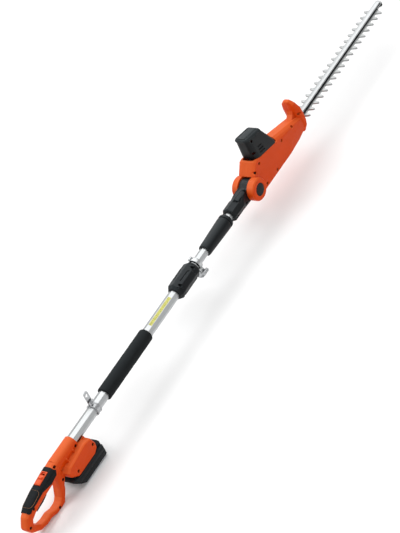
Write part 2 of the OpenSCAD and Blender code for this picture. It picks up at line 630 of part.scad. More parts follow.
module head_shell(side) color(orange) on_tool() half(side) difference() {
  union() {
    difference() {
      union() {
        head_body(0);
        guard(0);
        guard_flare(0);
        guard_fillet();
      }
      head_body(wall);
    }
    ear(-ear_right_y, -slot_half_w);
    ear(slot_half_w, ear_left_y);
    intersection() {
      head_body(0.5);
      union() {
        for (p = head_screw_places) rod_y(p[0], p[1], boss_r, -far, far);
        rod_y(pivot_x, 0, ear_r + 4, -far, far);
      }
    }
  }
  // Slot for the knuckle, with room below it for the full downward tilt
  rod_y(pivot_x, 0, ear_r + 1.5, -slot_half_w, slot_half_w);
  box(230, 308, -slot_half_w, slot_half_w, -40, -21);
  rod_y(pivot_x, 0, 8 + run_fit, -50, 50);
  rod_y(pivot_x, 0, 17.3, -50, -ear_right_y + 2.4);
  rod_y(pivot_x, 0, 17.3, ear_left_y - 2.4, 50);
  // Seat of the motor cover and the opening under it
  on_cover() box(-58, 50.2, -30, 30, 0, 60);
  on_cover() at(0, 0, -12) linear_extrude(20) polygon([[-42, -19], [-46, -12], [-46, 12], [-42, 19], [42, 19],
                                                       [44, 15], [44, -15], [42, -19]]);
  // Way out for the blades and their bar
  box(400, 600, -blade_slot_half_w, blade_slot_half_w, -10, 10);
  for (p = head_screw_places) {
    rod_y(p[0], p[1], screw_r + 0.1, -30, 14);
    rod_y(p[0], p[1], screw_head_r + 0.3, -far, -p[2]);
  }
}
module head_shell_left() head_shell(1);
module head_shell_right() head_shell(-1);

cover_screw_places = [[-41.5, 50.8, 15.5], [-44, 17.2, 14.5]];
module head_screws() color(steel) on_tool() {
  for (p = head_screw_places) {
    rod_y(p[0], p[1], screw_r, -p[2], 9);
    rod_y(p[0], p[1], screw_head_r, -p[2] - 2, -p[2]);
  }
  on_cover() for (p = cover_screw_places) {
    rod_y(p[0], p[1], screw_r, -p[2], 9);
    rod_y(p[0], p[1], screw_head_r, -p[2] - 2, -p[2]);
  }
}

module pivot_bolt() color(steel) on_tool() difference() {
  rod_y(pivot_x, 0, 8, -ear_right_y + 2.5, ear_left_y - 2.5);
  rod_y(pivot_x, 0, 4, -ear_right_y + 1, ear_left_y - 1);
}
module pivot_caps() color(black) on_tool() {
  at(pivot_x, -ear_right_y - 0.02, 0) to_y() cylinder(r1 = 16, r2 = 17, h = 1);
  rod_y(pivot_x, 0, 17, -ear_right_y + 0.98, -ear_right_y + 2.38);
  at(pivot_x, ear_left_y - 0.98, 0) to_y() cylinder(r1 = 17, r2 = 16, h = 1);
  rod_y(pivot_x, 0, 17, ear_left_y - 2.38, ear_left_y - 0.98);
}

// Motor cover: base corners and top corners as x, half width, corner radius
module cover_posts(rear, front, half_w, r, z) for (s = [-1, 1]) {
  at(rear + r * 1.3, s * (half_w - r), z) cylinder(r = r, h = 0.6, $fn = 32);
  at(front - r * 0.6, s * (half_w - r * 0.6), z) cylinder(r = r * 0.6, h = 0.6, $fn = 32);
}
cap_z = 55;
module cover_outer(t) hull() {
  cover_posts(-49 + t, 49 - t, 25.3 - t, 15 - t, 0.1);
  cover_posts(-50 + t, 47 - t, 25 - t, 15 - t, 8);
  cover_posts(-62 + t, 9.5 - t, 20.6 - t, 12 - t, cap_z - 0.7);
}
// Vent slots: rear end, front end and height
vent_slots = [[-27, -10, 26.5], [-26, -6, 18], [-24, -3, 9.8]];
vent_half_h = 1.6;
module motor_cover(side) color(black) on_tool() half(side) on_cover() difference() {
  cover_outer(0);
  at(0, 0, -1) cover_outer(2.2);
  at(0, 0, 3) cover_outer(2.2);
  // Three vent slots through each side wall
  for (v = vent_slots) box(v[0], v[1], -40, 40, v[2] - vent_half_h, v[2] + vent_half_h);
  for (p = cover_screw_places) {
    rod_y(p[0], p[1], screw_r + 0.1, -30, 14);
    rod_y(p[0], p[1], screw_head_r + 0.3, -far, -p[2]);
  }
}
module motor_cover_left() motor_cover(1);
module motor_cover_right() motor_cover(-1);
module motor_cap() color("#3a3f42") on_tool() on_cover() difference() {
  union() {
  hull() {
    cover_posts(-64.5, 8.5, 21.4, 12.5, cap_z + 0.1);
    cover_posts(-65.5, 7, 20.4, 12, cap_z + 4);
    cover_posts(-63, 4.5, 17.2, 10, cap_z + 7.6);
  }
  hull() {
    cover_posts(-60, 1.5, 15.2, 9, cap_z + 8);
    cover_posts(-59.4, 0.9, 14.6, 9, cap_z + 8.8);
  }
  }
  hull() {
    cover_posts(-60.5, 5, 17.6, 10.5, cap_z - 1);
    cover_posts(-60.5, 2, 15.6, 9, cap_z + 5);
  }
}

motor_z0 = 40;
motor_z1 = 96;
module motor_can() color(steel) on_tool() difference() {
  rod_z(motor_x, 0, 17.4, motor_z0, motor_z1);
  rod_z(motor_x, 0, 15.6, motor_z0 + 2, motor_z1 - 2);
  rod_z(motor_x, 0, 1.65, motor_z0 - 1, motor_z1 + 1);
}
module armature() color("#a4551e") on_tool() {
  rod_z(motor_x, 0, 1.6, 14.4, 105);
  rod_z(motor_x, 0, 13.5, motor_z0 + 8, motor_z1 - 12);
  rod_z(motor_x, 0, 5, motor_z1 - 12, motor_z1 - 3);
  // Cooling fan on the upper end of the shaft
  rod_z(motor_x, 0, 4, 98, 104);
  for (a = [0:45:315]) at(motor_x, 0, 98.5) rotate([0, 0, a]) rotate([25, 0, 0])
    translate([3, -0.6, 0]) cube([10.5, 1.2, 4.5]);
}

// Spur teeth as plain tapered blocks on a root disc
module spur(teeth, module_mm, h) {
  root_r = teeth * module_mm / 2 - 1.25 * module_mm;
  tip_r = teeth * module_mm / 2 + 0.9 * module_mm;
  linear_extrude(h) {
    circle(r = root_r);
    for (i = [0:teeth - 1]) rotate(i * 360 / teeth) polygon([
      [root_r - 0.3, -module_mm * 0.82], [root_r + 1.25 * module_mm, -module_mm * 0.68],
      [tip_r, -module_mm * 0.34], [tip_r, module_mm * 0.34],
      [root_r + 1.25 * module_mm, module_mm * 0.68], [root_r - 0.3, module_mm * 0.82]
    ]);
  }
}
gear_module = 0.8;
gear_z = 16;
gear_teeth = 44;
pinion_teeth = 10;
module motor_pinion() color(steel) on_tool() difference() {
  at(motor_x, 0, gear_z - 0.5) rotate(180 / pinion_teeth) spur(pinion_teeth, gear_module, 9);
  rod_z(motor_x, 0, 1.62, gear_z - 2, gear_z + 10);
}
module drive_gear() color("#8c8f91") on_tool() difference() {
  at(crank_x, 0, gear_z) rotate(180) spur(gear_teeth, gear_module, 6);
  rod_z(crank_x, 0, 4.02, gear_z - 1, gear_z + 7);
  for (a = [0:60:300]) at(crank_x, 0, gear_z - 1) rotate(a) translate([10.5, 0, 0]) cylinder(r = 2.6, h = 8);
}
blade_t = 2.4;
upper_z = -2.7;
lower_z = -5.4;
module crank_shaft() color(steel) on_tool() {
  rod_z(crank_x, 0, 4, upper_z + blade_t + 0.4, gear_z + 8);
  rod_z(crank_x, crank_throw, 11.2, upper_z, upper_z + blade_t + 0.4);
  rod_z(crank_x, -crank_throw, 11.2, lower_z, lower_z + blade_t);
  rod_z(crank_x, 0, 3.6, lower_z + blade_t, upper_z);
}
module crank_bearing() color(steel) on_tool() difference() {
  rod_z(crank_x, 0, 9, 8.7, 14.6);
  rod_z(crank_x, 0, 4 + run_fit, 8, 16);
}
module gear_plate() color("#9a9da0") on_tool() difference() {
  union() {
    box(332, 440, -19.5, 19.5, 8.7, 11.6);
    box(420, 498, -13, 13, 8.7, 11.6);
    rod_z(crank_x, 0, 12, 11.5, 14.8);
    // Posts that carry the motor
    for (s = [-1, 1]) box(motor_x - 4, motor_x + 4, s * 17 - 2.4, s * 17 + 2.4, 11.5, motor_z0 - 2.9);
    box(motor_x - 17, motor_x + 17, -19.4, 19.4, motor_z0 - 3, motor_z0 - 0.1);
  }
  rod_z(crank_x, 0, 9.01, 8, 16);
  rod_z(motor_x, 0, 5.2, 30, 45);
}

// ---------------------------------------------------------------- blades
first_tooth_x = 563;
spine_half_w = 11.4;
tooth_side = [[6.6, spine_half_w - 1], [5.4, spine_half_w + 2], [3, tooth_reach - 3],
              [1.5, tooth_reach - 0.4]];
tooth_pair = [
  tooth_side[0], tooth_side[1], tooth_side[2], tooth_side[3], [0, tooth_reach],
  [-tooth_side[3][0], tooth_side[3][1]], [-tooth_side[2][0], tooth_side[2][1]],
  [-tooth_side[1][0], tooth_side[1][1]], [-tooth_side[0][0], tooth_side[0][1]],
  [-tooth_side[0][0], -tooth_side[0][1]], [-tooth_side[1][0], -tooth_side[1][1]],
  [-tooth_side[2][0], -tooth_side[2][1]], [-tooth_side[3][0], -tooth_side[3][1]], [0, -tooth_reach],
  [tooth_side[3][0], -tooth_side[3][1]], [tooth_side[2][0], -tooth_side[2][1]],
  [tooth_side[1][0], -tooth_side[1][1]], [tooth_side[0][0], -tooth_side[0][1]]
];
spine_end_x = first_tooth_x + (tooth_count - 1) * tooth_pitch + 13;
bolt_places = [for (i = [0:5]) 430 + i * 110];
module blade(z) difference() {
  at(0, 0, z) linear_extrude(blade_t) {
    difference() {
      translate([crank_x - 29.5, -21.6]) square([59, 43.2]);
      translate([crank_x - 25.6, -18.6]) square([51.2, 37.2]);
    }
    translate([crank_x + 28, -spine_half_w]) square([spine_end_x - crank_x - 28, 2 * spine_half_w]);
    // Each pair of teeth is one bar across the spine
    for (i = [0:tooth_count - 1]) translate([first_tooth_x + i * tooth_pitch, 0]) polygon(tooth_pair);
  }
  for (x = bolt_places) {
    box(x - crank_throw - 0.5, x + crank_throw + 0.5, -3.3, 3.3, z - 1, z + blade_t + 1);
    for (s = [-1, 1]) rod_z(x + s * (crank_throw + 0.5), 0, 3.3, z - 1, z + blade_t + 1);
  }
}
module blade_upper() color("#a9abac") on_tool() blade(upper_z);
module blade_lower() color("#a2a4a5") on_tool() blade(lower_z);

bar_half_w = 8;
bar_top_z = 7;
bar_bottom_z = 0;
flange_half_w = 11.6;
module blade_bar() color(silver) on_tool() difference() {
  union() {
    // Raised rib with sloping sides, then the rounded flange at the tip
    at(410, 0, 0) rotate([90, 0, 90]) linear_extrude(bar_tip_x - flange_half_w - 410)
      polygon([[-bar_half_w, bar_bottom_z], [bar_half_w, bar_bottom_z], [bar_half_w, 1.8], [7, bar_top_z],
               [-7, bar_top_z], [-bar_half_w, 1.8]]);
    at(bar_tip_x - flange_half_w, 0, 1.8) cylinder(r1 = bar_half_w, r2 = 7, h = bar_top_z - 1.8);
    box(bar_tip_x - 34, bar_tip_x - flange_half_w, -flange_half_w, flange_half_w, bar_bottom_z, 1.8);
    rod_z(bar_tip_x - flange_half_w, 0, flange_half_w, bar_bottom_z, 1.8);
    // Tip block that shields the blade ends
    intersection() {
      rod_z(bar_tip_x - flange_half_w, 0, flange_half_w, lower_z, bar_bottom_z + 0.2);
      box(bar_tip_x - 19, bar_tip_x, -20, 20, lower_z - 1, 2);
    }
    // Block that the bar is held by inside the head
    box(414, 498, -7, 7, bar_top_z - 1, 8.6);
  }
  for (x = bolt_places) rod_z(x, 0, 2.02, -2, 5.6);
}
module blade_bolts() color("#6d7072") on_tool() for (x = bolt_places) {
  rod_z(x, 0, 2, lower_z - 0.4, 5.5);
  rod_z(x, 0, 3, lower_z - 0.4, bar_bottom_z);
  rod_z(x, 0, 5.6, lower_z - 2.4, lower_z - 0.4);
}

handle_shell_left();
handle_shell_right();
handle_screws();
grip_pad_left();
grip_pad_right();
switch_bezel();
lock_off_switch();
trigger();
trigger_pin();
trigger_spring();
main_switch();
terminal_block();
handle_wiring();
battery_base();
battery_lid();
battery_cells();
battery_latch();
outer_tube();
foam_grip();
label_strip();
strap_bracket();
strap_screw();
coupling_shell_left();
coupling_shell_right();
coupling_screws();
tube_bush();
clamp_band();
clamp_bolt();
clamp_pin();
clamp_lever();
inner_tube();
inner_bush();
coil_lead();
union_socket();
lock_collar();
stub_tube();
neck_shell_left();
neck_shell_right();
neck_screws();
tilt_release();
pivot_bolt();
pivot_caps();
head_shell_left();
head_shell_right();
head_screws();
motor_cover_left();
motor_cover_right();
motor_cap();
motor_can();
armature();
motor_pinion();
gear_plate();
crank_bearing();
crank_shaft();
drive_gear();
blade_upper();
blade_lower();
blade_bar();
blade_bolts();
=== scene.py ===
# Looks for the cordless pole hedge trimmer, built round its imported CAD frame.
# Places are given in the tool frame of the CAD source (x = 0 at the coupling's mouth, z = 0 on the pole
# axis, millimetres), and tool() turns them into row metres.
import json
import math

import bmesh
import bpy
import numpy as np
from mathutils import Matrix, Vector
from mathutils.bvhtree import BVHTree


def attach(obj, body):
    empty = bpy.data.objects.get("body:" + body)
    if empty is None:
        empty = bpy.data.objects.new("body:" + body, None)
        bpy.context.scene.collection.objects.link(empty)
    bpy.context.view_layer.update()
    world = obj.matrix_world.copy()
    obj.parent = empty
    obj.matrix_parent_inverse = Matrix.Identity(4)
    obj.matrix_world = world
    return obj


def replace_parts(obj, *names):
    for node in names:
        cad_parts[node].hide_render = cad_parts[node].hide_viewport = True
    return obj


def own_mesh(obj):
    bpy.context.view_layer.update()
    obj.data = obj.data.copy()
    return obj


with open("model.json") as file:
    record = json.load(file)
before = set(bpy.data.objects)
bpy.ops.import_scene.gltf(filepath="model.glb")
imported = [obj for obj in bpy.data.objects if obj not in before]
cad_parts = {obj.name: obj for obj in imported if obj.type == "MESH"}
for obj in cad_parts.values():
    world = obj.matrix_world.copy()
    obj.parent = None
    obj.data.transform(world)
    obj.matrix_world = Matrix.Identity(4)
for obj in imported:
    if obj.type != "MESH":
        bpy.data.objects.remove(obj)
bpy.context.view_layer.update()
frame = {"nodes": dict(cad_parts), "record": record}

MM = 0.001
REAR_X, TIP_X = -822.0, 1033.0
SHIFT_X = -(REAR_X + TIP_X) / 2
AXIS_Z = 88.0
PIVOT_X = 274.0
CAMERA_PLACE = (-2615, -2894, 2912)
CAMERA_LENS, SENSOR_WIDTH, VIEW_DEPTH = 134.46, 36.0, 50.0
FLOOR_HALF = 12.0
FLOOR_GREY, SKY_LIGHT = 0.93, 0.5
NODE_BODY = {n: b for b, ns in frame["record"]["behaviour"]["bodies"].items() for n in ns}
NODE_SLOT = {s["node"]: s["material_slot"] for s in frame["record"]["subparts"]}


def tool(x, y, z):
    """A point of the tool frame, in millimetres, as row metres."""
    return Vector(((x + SHIFT_X) * MM, y * MM, (z + AXIS_Z) * MM))


def tool_array(co):
    """Row metres, as an array of points, in the tool frame's millimetres."""
    return co / MM - np.array([SHIFT_X, 0.0, AXIS_Z])


def new_object(name, data):
    """A scene object that holds this mesh, light or camera."""
    obj = bpy.data.objects.new(name, data)
    bpy.context.scene.collection.objects.link(obj)
    return obj


# ---------------------------------------------------------------- camera, floor and lights

def make_camera():
    """The camera stands behind the handle, to the right and above, as a long lens sees the tool."""
    data = bpy.data.cameras.new("camera")
    data.sensor_width = SENSOR_WIDTH
    data.lens = CAMERA_LENS
    data.clip_end = VIEW_DEPTH
    cam = new_object("camera", data)
    right = Vector((0.483, -0.799, -0.357)).normalized()
    back = Vector((-0.537, -0.593, 0.600))
    up = back.cross(right).normalized()
    back = right.cross(up)
    turn = Matrix((right, up, back)).transposed().to_4x4()
    cam.matrix_world = Matrix.Translation(tool(*CAMERA_PLACE)) @ turn
    bpy.context.scene.camera = cam
    bpy.context.scene.view_settings.view_transform = "Standard"


def area_light(name, place, size, power, target=(0, 0, 0.1)):
    """A soft rectangular light at a place in row metres, turned towards the tool."""
    data = bpy.data.lights.new(name, "AREA")
    data.shape = "RECTANGLE"
    data.size, data.size_y = size
    data.energy = power
    lamp = new_object(name, data)
    lamp.location = place
    aim = Vector(target) - Vector(place)
    lamp.rotation_euler = aim.to_track_quat("-Z", "Y").to_euler()


def make_floor():
    mesh = bpy.data.meshes.new("floor")
    corners = [(x * FLOOR_HALF, y * FLOOR_HALF, 0) for x, y in [(-1, -1), (1, -1), (1, 1), (-1, 1)]]
    mesh.from_pydata(corners, [], [(0, 1, 2, 3)])
    floor = new_object("floor", mesh)
    mat = bpy.data.materials.new("floor")
    mat.use_nodes = True
    shader = mat.node_tree.nodes["Principled BSDF"]
    shader.inputs["Base Color"].default_value = (FLOOR_GREY, FLOOR_GREY, FLOOR_GREY, 1)
    shader.inputs["Roughness"].default_value = 0.9
    floor.data.materials.append(mat)


def make_lights():
    """A white surround, one wide light overhead and three smaller ones round the tool."""
    world = bpy.data.worlds.new("world")
    bpy.context.scene.world = world
    world.use_nodes = True
    background = world.node_tree.nodes["Background"]
    background.inputs["Color"].default_value = (1, 1, 1, 1)
    background.inputs["Strength"].default_value = SKY_LIGHT
    area_light("overhead", (1.5, 0.4, 4.0), (7.0, 4.0), 140)
    area_light("back", (3.4, 3.0, 3.1), (4.2, 2.4), 48)
    area_light("key", (-1.6, 1.9, 2.4), (1.8, 1.2), 30)
    area_light("fill", (-2.6, -3.1, 1.7), (2.4, 1.6), 30)


# ---------------------------------------------------------------- materials

# The side the overhead light comes from; surfaces turned to it get a painted highlight.
PAINTED_LIGHT_SIDE = (-0.12, 0.1, 0.98)
NEAR_BLACK = (0.012, 0.013, 0.014)


class Shade:
    """A node material under construction: a principled shader, with noise mixed into its inputs."""

    def __init__(self, name, colour, rough, metallic=0.0):
        self.mat = bpy.data.materials.new(name)
        self.mat.use_nodes = True
        self.tree = self.mat.node_tree
        self.shader = self.tree.nodes["Principled BSDF"]
        self.shader.inputs["Base Color"].default_value = (*colour, 1)
        self.shader.inputs["Roughness"].default_value = rough
        self.shader.inputs["Metallic"].default_value = metallic
        self.colour = colour
        self.coords = self.tree.nodes.new("ShaderNodeTexCoord")
        self.place = self.coords.outputs["Object"]
        self.height = None

    def node(self, kind, **inputs):
        """A new node with these inputs set. A name's underscores stand for spaces."""
        made = self.tree.nodes.new(kind)
        for key, value in inputs.items():
            made.inputs[key.replace("_", " ")].default_value = value
        return made

    def link(self, a, b):
        self.tree.links.new(a, b)

    def stretched(self, scale):
        """Object coordinates in millimetres, squeezed along each axis by scale."""
        mapping = self.tree.nodes.new("ShaderNodeMapping")
        mapping.inputs["Scale"].default_value = [s / MM for s in scale]
        self.link(self.place, mapping.inputs["Vector"])
        return mapping.outputs["Vector"]

    def noise(self, scale=(1, 1, 1), detail=2.0, rough=0.5):
        """Noise of so many waves per millimetre along each axis."""
        made = self.node("ShaderNodeTexNoise", Scale=1.0, Detail=detail, Roughness=rough)
        self.link(self.stretched(scale), made.inputs["Vector"])
        return made.outputs["Fac"]

    def cells(self, scale=(1, 1, 1)):
        """Distance from the centres of scattered cells, so many per millimetre along each axis."""
        made = self.node("ShaderNodeTexVoronoi", Scale=1.0)
        self.link(self.stretched(scale), made.inputs["Vector"])
        return made.outputs["Distance"]

    def spread(self, source, low, high, start=0.3, end=0.7):
        """Low where the source is at start, high where it is at end, and in proportion between."""
        made = self.node("ShaderNodeMapRange", From_Min=start, From_Max=end, To_Min=low, To_Max=high)
        self.link(source, made.inputs["Value"])
        return made.outputs["Result"]

    def tint(self, source, other, start=0.3, end=0.7, amount=1.0):
        """Mixes the colour so far towards another as the source goes from start to end."""
        mix = self.tree.nodes.new("ShaderNodeMix")
        mix.data_type = "RGBA"
        base = self.shader.inputs["Base Color"]
        first, second = [socket for socket in mix.inputs if socket.type == "RGBA"]
        if base.is_linked:
            self.link(base.links[0].from_socket, first)
        else:
            first.default_value = (*self.colour, 1)
        second.default_value = (*other, 1)
        self.link(self.spread(source, 0.0, amount, start, end), mix.inputs["Factor"])
        self.link(next(o for o in mix.outputs if o.type == "RGBA"), base)
        return self

    def vary_rough(self, source, low, high):
        self.link(self.spread(source, low, high), self.shader.inputs["Roughness"])
        return self

    def bump(self, source, depth_mm, strength=1.0):
        """Adds fine relief on top of the relief there already is."""
        made = self.node("ShaderNodeBump", Strength=strength, Distance=depth_mm * MM)
        self.link(source, made.inputs["Height"])
        if self.height is not None:
            self.link(self.height, made.inputs["Normal"])
        self.height = made.outputs["Normal"]
        self.link(self.height, self.shader.inputs["Normal"])
        return self

    def painted_top_highlight(self, other, amount, start=0.4, end=0.97):
        """Painted highlight: surfaces that face up, towards the overhead light, are painted a little paler.
        """
        turned = self.tree.nodes.new("ShaderNodeVectorMath")
        turned.operation = "DOT_PRODUCT"
        turned.inputs[1].default_value = PAINTED_LIGHT_SIDE
        self.link(self.coords.outputs["Normal"], turned.inputs[0])
        return self.tint(turned.outputs["Value"], other, start, end, amount)

    def worn_edges(self, other, amount):
        """Lighter edges, from the mesh's own convexity."""
        geometry = self.tree.nodes.new("ShaderNodeNewGeometry")
        return self.tint(geometry.outputs["Pointiness"], other, 0.53, 0.6, amount)


def scaled(colour, share, lift=0.0):
    """A colour made darker or lighter in proportion, and lifted by a fixed step."""
    return tuple(min(1.0, c * share + lift) for c in colour)


def moulded(name, colour, rough, grain=0.02, rubbed=None, gloss=0.16, top=None, top_from=0.4, top_to=0.97):
    """Injection moulded plastic: fine spark texture, faint flow marks, edges a little rubbed, and a painted
    highlight on its upward faces.
    """
    s = Shade(name, colour, rough)
    s.shader.inputs["IOR"].default_value = 1.49
    s.shader.inputs["Specular IOR Level"].default_value = gloss
    s.tint(s.noise((0.016, 0.03, 0.03), 3.0), scaled(colour, 0.86), 0.35, 0.75, 0.6)
    s.worn_edges(rubbed or scaled(colour, 1.25, 0.02), 0.35)
    if top:
        # Painted highlight: upward faces are tinted towards the colour top.
        s.painted_top_highlight(top, 0.7, start=top_from, end=top_to)
    s.vary_rough(s.noise((0.05, 0.05, 0.05), 4.0), rough - 0.06, rough + 0.08)
    s.bump(s.noise((2.2, 2.2, 2.2), 2.0), grain)
    s.bump(s.noise((0.25, 0.25, 0.25), 2.0), grain * 1.5, 0.35)
    return s.mat


def soft_rubber(name, colour, rough=0.75):
    """Overmoulded grip rubber with a fine leathery grain."""
    s = Shade(name, colour, rough)
    s.shader.inputs["Specular IOR Level"].default_value = 0.14
    s.tint(s.noise((0.06, 0.06, 0.06), 3.0), scaled(colour, 1.5), 0.4, 0.8, 0.7)
    s.vary_rough(s.noise((0.2, 0.2, 0.2), 3.0), rough - 0.08, rough + 0.1)
    # Painted highlight on the upward faces.
    s.painted_top_highlight((0.016, 0.019, 0.021), 0.7)
    s.bump(s.cells((1.1, 1.1, 1.1)), 0.06)
    s.bump(s.noise((3.0, 3.0, 3.0), 2.0), 0.02)
    return s.mat


def foam(name, colour):
    """Closed-cell foam tube: small open pores in a matte skin."""
    s = Shade(name, colour, 0.92)
    s.shader.inputs["Specular IOR Level"].default_value = 0.1
    s.shader.inputs["Sheen Weight"].default_value = 0.04
    s.tint(s.noise((0.03, 0.06, 0.06), 4.0), scaled(colour, 2.0), 0.35, 0.8, 0.7)
    s.tint(s.cells((1.6, 1.6, 1.6)), scaled(colour, 0.4), 0.55, 0.2, 0.5)
    # Painted highlight on the upward faces.
    s.painted_top_highlight((0.026, 0.031, 0.034), 0.6)
    s.bump(s.cells((1.3, 1.3, 1.3)), 0.12)
    s.bump(s.noise((3.5, 3.5, 3.5), 3.0), 0.05)
    return s.mat


def drawn_metal(name, colour, rough, stretch=(0.004, 1.6, 1.6), scratch=0.006):
    """Extruded or ground metal with faint lines along its length."""
    s = Shade(name, colour, rough, 1.0)
    s.shader.inputs["Anisotropic"].default_value = 0.45
    lines = s.noise(stretch, 4.0, 0.6)
    s.tint(lines, scaled(colour, 0.86), 0.35, 0.7, 0.55)
    s.tint(s.noise((0.01, 0.05, 0.05), 3.0), scaled(colour, 0.9), 0.4, 0.8, 0.5)
    s.vary_rough(lines, rough - 0.05, rough + 0.09)
    s.bump(lines, scratch)
    return s.mat


def cast_metal(name, colour, rough=0.5):
    s = Shade(name, colour, rough, 1.0)
    s.tint(s.noise((0.2, 0.2, 0.2), 4.0), scaled(colour, 0.75), 0.4, 0.75, 0.6)
    s.worn_edges(scaled(colour, 1.4), 0.6)
    s.vary_rough(s.noise((0.3, 0.3, 0.3), 3.0), rough - 0.1, rough + 0.12)
    s.bump(s.noise((1.4, 1.4, 1.4), 3.0), 0.05)
    return s.mat


def plated(name, colour, rough=0.3):
    """Turned and plated steel: screws, pins and bolts."""
    s = Shade(name, colour, rough, 1.0)
    s.tint(s.noise((0.4, 0.4, 0.4), 3.0), scaled(colour, 0.7), 0.45, 0.75, 0.6)
    s.vary_rough(s.noise((0.8, 0.8, 0.8), 3.0), rough - 0.08, rough + 0.15)
    s.bump(s.noise((4.0, 4.0, 4.0), 2.0), 0.01)
    return s.mat


def bar_metal(name, colour, rough):
    """The blade bar: bright extruded top, then on its right side only painted shade: a darker grey slope, a
    painted shadow line along its foot, and grey beyond.
    """
    s = Shade(name, colour, rough, 1.0)
    lines = s.noise((0.004, 1.6, 1.6), 4.0, 0.6)
    s.tint(lines, scaled(colour, 0.9), 0.35, 0.7, 0.5)
    parts = s.tree.nodes.new("ShaderNodeSeparateXYZ")
    s.link(s.place, parts.inputs["Vector"])
    # Right side only: painted shade on the slope, a painted shadow line along the foot, then grey.
    s.tint(parts.outputs["Y"], scaled(colour, 0.7), -6.8 * MM, -7.1 * MM)
    s.tint(parts.outputs["Y"], NEAR_BLACK, -7.5 * MM, -7.65 * MM)
    s.tint(parts.outputs["Y"], scaled(colour, 0.6), -8.1 * MM, -8.3 * MM)
    across = s.tree.nodes.new("ShaderNodeMath")
    across.operation = "ABSOLUTE"
    s.link(parts.outputs["Y"], across.inputs[0])
    s.tint(across.outputs["Value"], NEAR_BLACK, 10.2 * MM, 10.8 * MM)
    s.vary_rough(lines, rough - 0.05, rough + 0.09)
    s.bump(lines, 0.006)
    return s.mat


def printed_film(name, colour):
    """Label film: satin print with dark marks that stand for its small print."""
    s = Shade(name, colour, 0.38)
    s.shader.inputs["Coat Weight"].default_value = 0.4
    s.shader.inputs["Coat Roughness"].default_value = 0.2
    s.tint(s.noise((0.02, 0.4, 0.4), 3.0), scaled(colour, 0.82), 0.4, 0.8, 0.6)
    s.tint(s.noise((0.28, 0.9, 0.9), 1.0), (0.09, 0.09, 0.03), 0.58, 0.62, 0.75)
    s.bump(s.noise((0.15, 0.6, 0.6), 2.0), 0.01)
    return s.mat


OUTLINE = soft_rubber("pad_outline", (0.36, 0.17, 0.07), 0.6)
# Dark steel screws with a red tint: the tint is painted shade, the orange recess round each screw seen in
# shadow.
SCREWS_WITH_PAINTED_SHADE = plated("screws_painted_shade", (0.05, 0.008, 0.006), 0.6)
NODE_MATERIALS = {
    "blade_bar": bar_metal("bar_aluminium", (0.56, 0.575, 0.58), 0.36),
    "handle_screws": SCREWS_WITH_PAINTED_SHADE,
    "head_screws": SCREWS_WITH_PAINTED_SHADE,
}
# Each top colour is a painted highlight on the upward faces of that plastic.
SLOT_MATERIALS = {
    "orange_plastic": moulded("orange_plastic", (0.61, 0.054, 0.002), 0.42, 0.012, rubbed=(0.8, 0.14, 0.02),
                              gloss=0.12, top=(0.80, 0.155, 0.04), top_from=0.25, top_to=0.85),
    "switch_orange": moulded("switch_orange", (0.66, 0.045, 0.004), 0.32, 0.008, rubbed=(0.85, 0.14, 0.03),
                             gloss=0.2, top=(0.85, 0.14, 0.04)),
    "black_plastic": moulded("black_plastic", (0.0065, 0.008, 0.009), 0.38, rubbed=(0.022, 0.026, 0.028),
                             top=(0.030, 0.037, 0.041)),
    "grey_plastic": moulded("grey_plastic", (0.013, 0.017, 0.0185), 0.4, rubbed=(0.04, 0.045, 0.048),
                            top=(0.044, 0.053, 0.058)),
    "rubber_pad": soft_rubber("rubber_pad", (0.006, 0.0072, 0.008)),
    "foam": foam("foam", (0.009, 0.0105, 0.0112)),
    "tube_aluminium": drawn_metal("tube_aluminium", (0.53, 0.545, 0.55), 0.34),
    "cast_aluminium": cast_metal("cast_aluminium", (0.42, 0.43, 0.44)),
    "blade_steel": drawn_metal("blade_steel", (0.40, 0.41, 0.41), 0.34, (0.02, 0.9, 1.2), 0.01),
    "steel": plated("steel", (0.46, 0.47, 0.48)),
    "dark_steel": plated("dark_steel", (0.022, 0.02, 0.02), 0.55),
    "label": printed_film("label", (0.60, 0.58, 0.09)),
    "cell_wrap": moulded("cell_wrap", (0.03, 0.12, 0.36), 0.3, 0.005),
    "copper": plated("copper", (0.62, 0.26, 0.12), 0.35),
    "brass": plated("brass", (0.68, 0.5, 0.2), 0.3),
    "wire_red": soft_rubber("wire_red", (0.35, 0.02, 0.02), 0.5),
}


def material_of(node):
    """The material of a CAD node: its own if it has one, or else its slot's."""
    return NODE_MATERIALS.get(node) or SLOT_MATERIALS[NODE_SLOT[node]]


# ---------------------------------------------------------------- mesh helpers

def dress(obj, node, smooth_angle=None):
    """Gives a finished piece its body, slot and material from the CAD node that it stands for."""
    obj.data.materials.clear()
    obj.data.materials.append(material_of(node))
    obj.data.shade_smooth()
    if smooth_angle is not None:
        obj.data.set_sharp_from_angle(angle=math.radians(smooth_angle))
    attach(obj, NODE_BODY[node])
    return obj


def merged(name, nodes):
    """One object that holds a copy of the CAD meshes of these nodes, with their seams welded."""
    bm = bmesh.new()
    for node in nodes:
        bm.from_mesh(frame["nodes"][node].data)
    bmesh.ops.remove_doubles(bm, verts=bm.verts, dist=1e-6)
    mesh = bpy.data.meshes.new(name)
    bm.to_mesh(mesh)
    bm.free()
    return new_object(name, mesh)


def applied(obj, kind, **settings):
    """Adds one modifier and bakes it into the object's mesh."""
    modifier = obj.modifiers.new(kind.lower(), kind)
    for key, value in settings.items():
        setattr(modifier, key, value)
    graph = bpy.context.evaluated_depsgraph_get()
    mesh = bpy.data.meshes.new_from_object(obj.evaluated_get(graph), depsgraph=graph)
    obj.modifiers.clear()
    obj.data = mesh
    return obj


def points_of(mesh):
    co = np.empty(len(mesh.vertices) * 3, np.float32)
    mesh.vertices.foreach_get("co", co)
    return co.reshape(-1, 3).astype(float)


